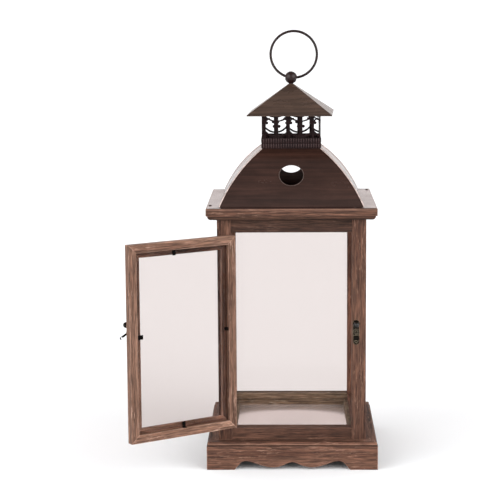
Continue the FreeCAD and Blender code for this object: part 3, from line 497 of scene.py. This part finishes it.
bpy.ops.object.select_all(action="DESELECT")
bpy.ops.curve.primitive_bezier_curve_add()
seam = bpy.context.object
seam.name = "roof_seam_front_left"
first, last = seam.data.splines[0].bezier_points
for point, place, angle in ((first, ROOF_FOOT, foot_angle), (last, ROOF_HEAD, head_angle)):
    point.handle_left_type = point.handle_right_type = "FREE"
    along = Vector((-math.sin(angle), math.cos(angle))) * handle
    point.co = corner(place)
    point.handle_left = corner(place - along)
    point.handle_right = corner(place + along)
seam.data.resolution_u = 24
seam.data.bevel_depth = SEAM_RADIUS
seam.data.bevel_resolution = 3
seam.data.use_fill_caps = True
bpy.ops.object.convert(target="MESH")
seam = bpy.context.object
bpy.ops.object.shade_smooth_by_angle(angle=math.radians(50))
solder = dark_paint("rubbed_solder", SOLDER, rough=0.34, edge_gain=0.2, ior=1.45)
solder.node_tree.nodes["Principled BSDF"].inputs["Metallic"].default_value = 0.8
seam.data.materials.append(solder)
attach(seam, "lantern")
for quarters, title in enumerate(("front_right", "back_right", "back_left"), start=1):
    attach(turned_copy(seam, f"roof_seam_{title}", quarters), "lantern")

# ---- Gallery: a square tube of thin sheet, fluted at the foot and pierced with scrolls above.
# Near-black brown paint. It stands on the roof's top edge and carries the cap, with a strap across
# its inside for the bolt.
NEAR_BLACK = (0.0095, 0.0042, 0.0042)
gallery_paint = dark_paint("gallery_dark_paint", NEAR_BLACK, rough=0.34, edge_gain=1.2, ior=1.18)
finish_node("vent_gallery", gallery_paint)
finish_node("cross_strap", gallery_paint)

# The flutes of the foot: two rows of rounded ribs, rolled into the sheet side by side, all round.
GALLERY_HALF = 0.0415
FLUTE_FOOT, FLUTE_HEIGHT, ROW_RISE = 0.4459, 0.0062, 0.0073
FLUTE_RADIUS, FLUTE_PITCH, FLUTE_COUNT = 0.00092, 0.00353, 23
flute_place = (-FLUTE_PITCH * (FLUTE_COUNT - 1) / 2, -GALLERY_HALF, FLUTE_FOOT + FLUTE_HEIGHT / 2)
bpy.ops.mesh.primitive_cylinder_add(vertices=16, radius=FLUTE_RADIUS, depth=FLUTE_HEIGHT)
flutes = bpy.context.object
flutes.name = "gallery_flutes_front"
flutes.location = flute_place
soft_end = flutes.modifiers.new("soft_end", "BEVEL")
soft_end.width = 0.0006
soft_end.segments = 3
soft_end.limit_method = "ANGLE"
soft_end.angle_limit = math.radians(50)
for title, count, step in (("side_by_side", FLUTE_COUNT, (FLUTE_PITCH, 0.0, 0.0)),
                           ("two_rows", 2, (0.0, 0.0, ROW_RISE))):
    row = flutes.modifiers.new(title, "ARRAY")
    row.count = count
    row.use_relative_offset = False
    row.use_constant_offset = True
    row.constant_offset_displace = step
apply_all(flutes)
bpy.ops.object.shade_smooth_by_angle(angle=math.radians(40))
# The ribs are painted paler than the gallery's own paint, as painted light on the ribs.
lit_flute_paint = dark_paint("lit_flute_paint", (0.034, 0.0155, 0.0150), rough=0.28, edge_gain=1.2)
flutes.data.materials.append(lit_flute_paint)
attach(flutes, "lantern")
for quarters, side in enumerate(("right", "back", "left"), start=1):
    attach(turned_copy(flutes, f"gallery_flutes_{side}", quarters), "lantern")

# ---- Cap: a thin pyramid shell, folded from sheet and painted like the roof, a little paler.
# It rests on the gallery's top edge, where the bolt under the ball clamps it down.
cap_paint = dark_paint("cap_bronze_paint", (0.046, 0.027, 0.019), rough=0.28, edge_gain=1.1)
finish_node("cap", cap_paint)

# ---- Finial and ring: a turned ball on a bolt, and a bent wire ring to hang the lantern by.
# Smooth near-black brown paint. The ring passes through the ball's cross bore and swings in it.
finial_paint = dark_paint("finial_dark_paint", (0.0125, 0.0046, 0.0042), rough=0.2, edge_gain=0.8)
for name in ("finial_ball", "finial_bolt", "hanging_ring"):
    finish_node(name, finial_paint)

# ---- Door: four mitred members, rabbeted inside for a pane. The same wood, a little paler, and
# palest on the bottom rail. It is stored open, so the grain of its rails runs along its own open
# direction.
DOOR_OPEN = (0.0, 0.0, math.radians(-146.6))
DOOR = ((0.182, 0.099, 0.067), (0.145, 0.0755, 0.0495), (0.099, 0.0475, 0.030))
door_upright = wood("door_wood_upright", ALONG_Z, DOOR, wear=1.0)
door_across = wood("door_wood_across", DOOR_OPEN, DOOR, wear=1.0)
door_low = wood("door_wood_low_rail", DOOR_OPEN, shaded(1.25, DOOR), wear=1.0)
finish_node("door_stile_hinge", door_upright)
finish_node("door_stile_free", door_upright)
finish_node("door_rail_top", door_across)
finish_node("door_rail_bottom", door_low)
finish_node("door_glass", glass)

# ---- Door hardware: bent black tabs for the pane, two small butt hinges and the clasp.
# Stamped and turned brass with an antique bronze finish, dark in the hollows and pale brass on the
# knobs and edges from wear and a painted highlight. All of it is screwed or pinned on.
BRASS_WEAR_AND_HIGHLIGHT = (0.52, 0.43, 0.30)
# The bright brass edges and knob rims are rubbed metal and partly a painted highlight.
bronze = dark_paint("antique_bronze", (0.0050, 0.0036, 0.0022), rough=0.22, edge_gain=2.8,
                    rubbed=BRASS_WEAR_AND_HIGHLIGHT, edge_radius=0.0003, ior=1.16)
knob_bronze = dark_paint("knob_bronze", (0.0045, 0.0032, 0.0020), rough=0.14, edge_gain=1.2,
                         rubbed=BRASS_WEAR_AND_HIGHLIGHT, edge_radius=0.0002, ior=1.42)
arm_bronze = dark_paint("arm_bronze", (0.0030, 0.0022, 0.0016), rough=0.42, edge_gain=0.5, ior=1.10)
black = dark_paint("black_tabs", (0.0022, 0.0018, 0.0016), rough=0.5, edge_gain=0.3, ior=1.10)
for name in ("hinge_leaves_frame", "hinge_leaves_door", "hinge_pins", "frame_screws", "door_screws",
             "latch_plate", "latch_pivot", "keeper_plate"):
    finish_node(name, bronze)
for name in ("latch_knob", "keeper_knob"):
    finish_node(name, knob_bronze)
finish_node("latch_arm", arm_bronze)
finish_node("glass_clips", black)

# ---- Room: a plain pale floor, and an even white room that is brighter low down than overhead.
# The light comes from the room itself, with one soft bright patch to the front left and one to the
# front right, and no lamps. The camera stands in front, a little above the lantern.
FLOOR_SIZE = 120.0
FLOOR_MIDDLE = (0.0, 40.0, 0.0)
bpy.ops.mesh.primitive_plane_add(size=FLOOR_SIZE, location=FLOOR_MIDDLE)
floor = bpy.context.object
floor.name = "floor"
floor_look, _, floor_shader = new_material("pale_floor")
floor_shader.inputs["Base Color"].default_value = tint((0.915, 0.935, 0.95))
floor_shader.inputs["Roughness"].default_value = 0.9
floor_shader.inputs["Specular IOR Level"].default_value = 0.1
floor.data.materials.append(floor_look)

ROOM_STRENGTH = 1.3
PATCH_LEFT = Vector((-0.8, -0.6, 0.42)).normalized()
PATCH_RIGHT = Vector((0.8, -0.6, 0.42)).normalized()
PATCH_GAIN = 2.3
world = bpy.data.worlds.new("white_room")
bpy.context.scene.world = world
world.use_nodes = True
room = world.node_tree
backdrop = room.nodes["Background"]
direction = add(room, "ShaderNodeTexCoord")
split = add(room, "ShaderNodeSeparateXYZ")
room.links.new(direction.outputs["Generated"], split.inputs[0])
sky = ramp(room, split.outputs["Z"], [(0.0, (1.0, 0.925, 0.905)), (0.3, (0.93, 0.88, 0.87)),
                                      (0.62, grey(0.60)), (0.9, grey(0.34))])


def bright_patch(towards):
    """A large soft bright patch of the room, in one direction."""
    facing = add(room, "ShaderNodeVectorMath", operation="DOT_PRODUCT")
    room.links.new(direction.outputs["Generated"], facing.inputs[0])
    facing.inputs[1].default_value = towards
    return spread(room, facing.outputs["Value"], start=0.78, end=0.95, high=PATCH_GAIN, curve="SMOOTHSTEP")


patches = sums(room, "ADD", bright_patch(PATCH_LEFT), bright_patch(PATCH_RIGHT))
room.links.new(blend_colours(room, "ADD", 1.0, sky, patches), backdrop.inputs["Color"])
backdrop.inputs["Strength"].default_value = ROOM_STRENGTH

CAMERA_PLACE = (-0.00299, -2.3742, 0.6579)
YAW, PITCH, ROLL = math.radians(1.379), math.radians(8.706), math.radians(-0.396)
SENSOR_WIDTH, FOCAL_LENGTH = 36.0, 119.3
ahead = Vector((-math.sin(YAW) * math.cos(PITCH), math.cos(YAW) * math.cos(PITCH), -math.sin(PITCH)))
right = Vector((math.cos(YAW), math.sin(YAW), 0.0))
up = right.cross(ahead)
right_rolled = right * math.cos(ROLL) + up * math.sin(ROLL)
up_rolled = up * math.cos(ROLL) - right * math.sin(ROLL)
camera_turn = Matrix((right_rolled, up_rolled, -ahead)).transposed().to_4x4()
bpy.ops.object.camera_add()
camera = bpy.context.object
camera.data.sensor_width = SENSOR_WIDTH
camera.data.lens = FOCAL_LENGTH
camera.matrix_world = Matrix.Translation(CAMERA_PLACE) @ camera_turn
bpy.context.scene.camera = camera
bpy.context.scene.view_settings.view_transform = "Standard"
